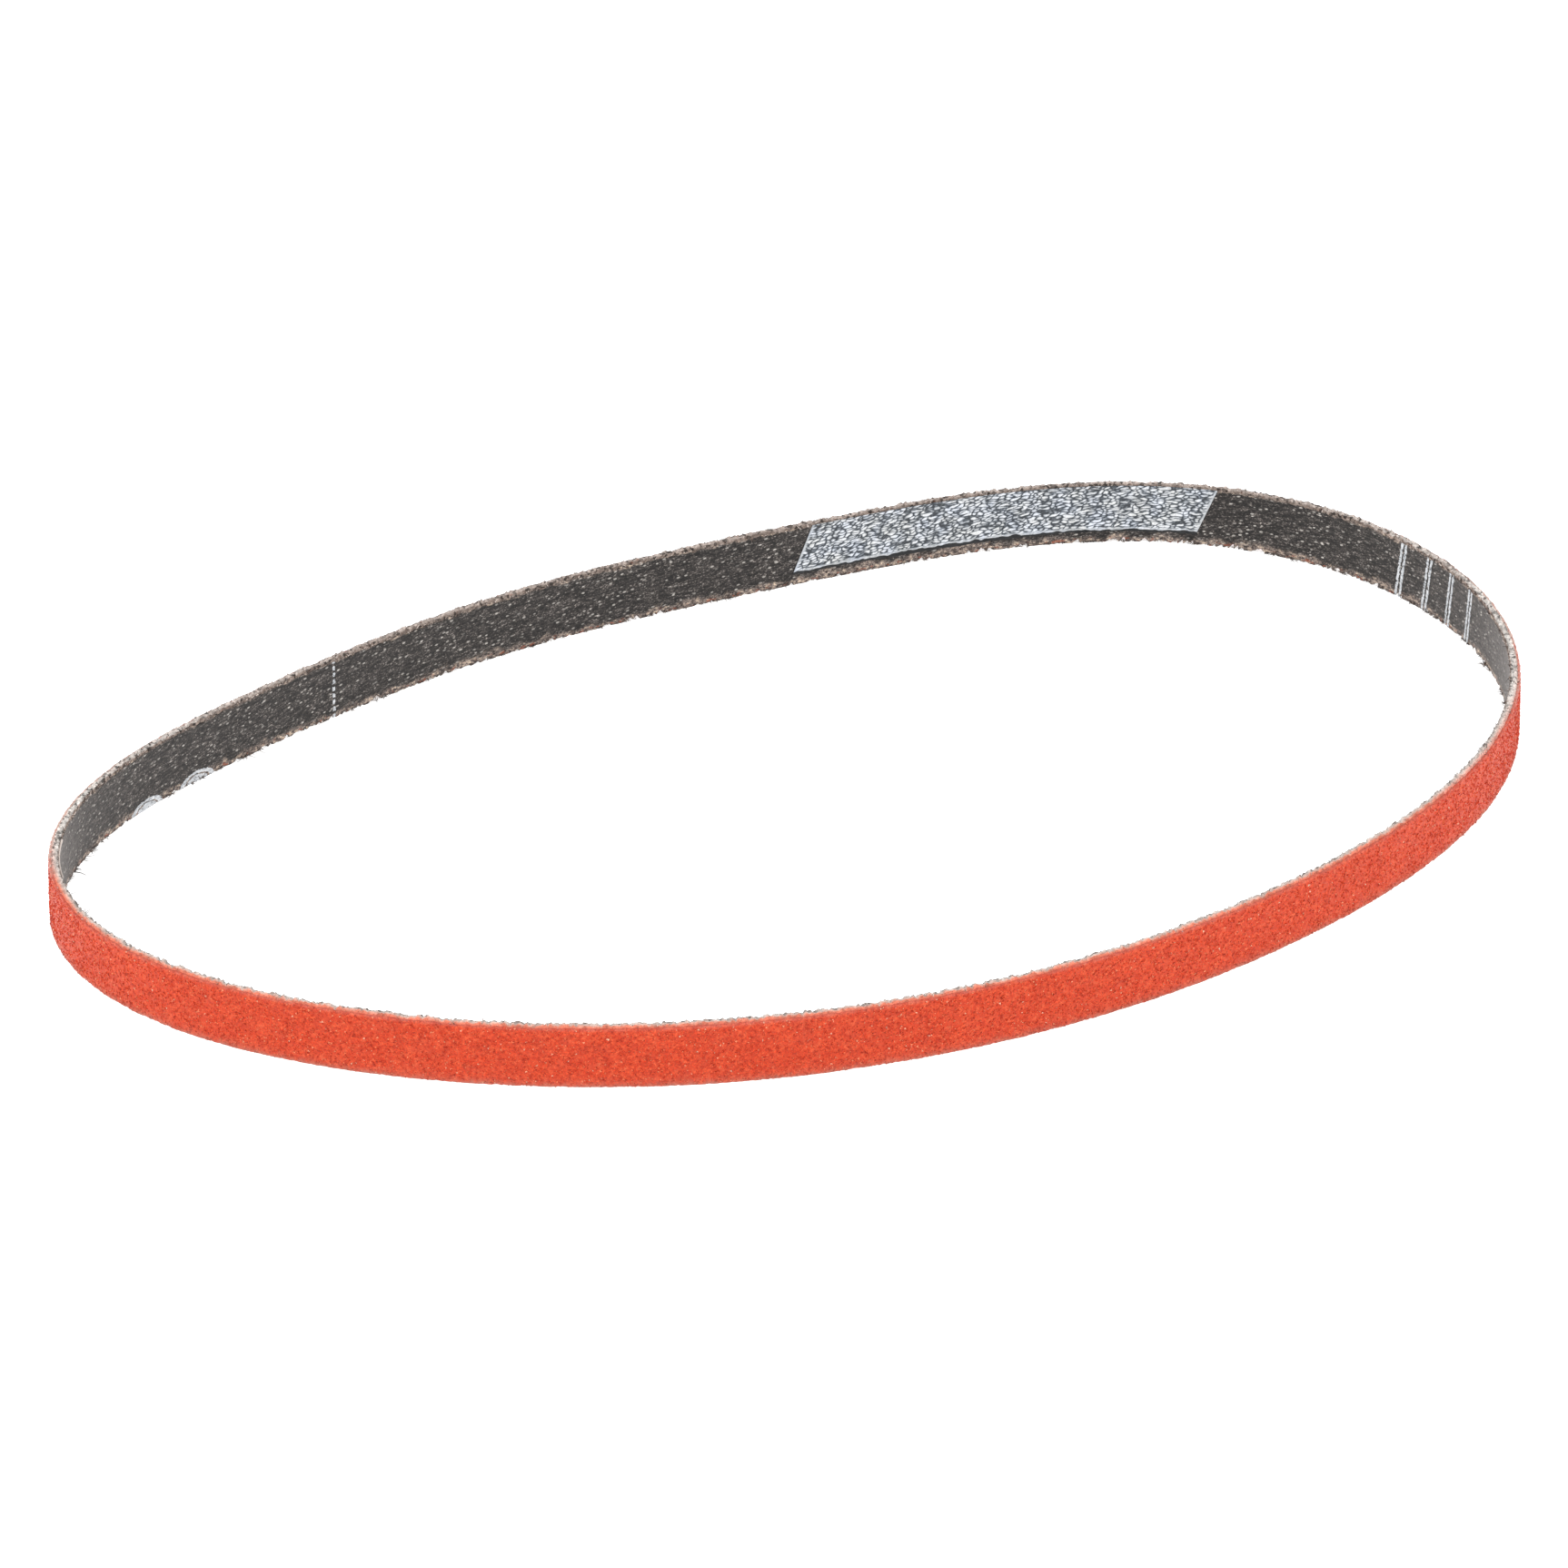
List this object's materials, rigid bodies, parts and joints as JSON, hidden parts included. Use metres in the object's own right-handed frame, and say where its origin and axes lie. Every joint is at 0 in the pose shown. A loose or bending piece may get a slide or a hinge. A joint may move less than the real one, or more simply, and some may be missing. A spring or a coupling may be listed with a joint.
{
  "type": "abrasive belt",
  "caption": "Narrow endless abrasive belt: grain-coated cloth strip closed by a slanted, taped butt splice, for a finger belt sander.",
  "frame": {"origin": "centre of the relaxed loop's own box, in the plane of the lower slit edge that the belt lies on", "axes": "+Z across the belt's width, from the lower edge to the upper one; +X the loop's long way; the splice is on the +Y side"},
  "size_m": [0.2202, 0.1802, 0.0095],
  "materials": {
    "backsize": "matte",
    "cloth": "matte",
    "bond_resin": "satin",
    "grain": "matte",
    "size_resin": "satin",
    "adhesive": "satin",
    "tape_film": "satin"
  },
  "bodies": {
    "root": {"backsize_coat": "backsize", "cloth_backing": "cloth", "make_coat": "bond_resin", "abrasive_grain": "grain", "size_coat": "size_resin", "seam_bond": "adhesive", "tape_adhesive": "adhesive", "splice_tape": "tape_film"}
  },
  "joints": []
}
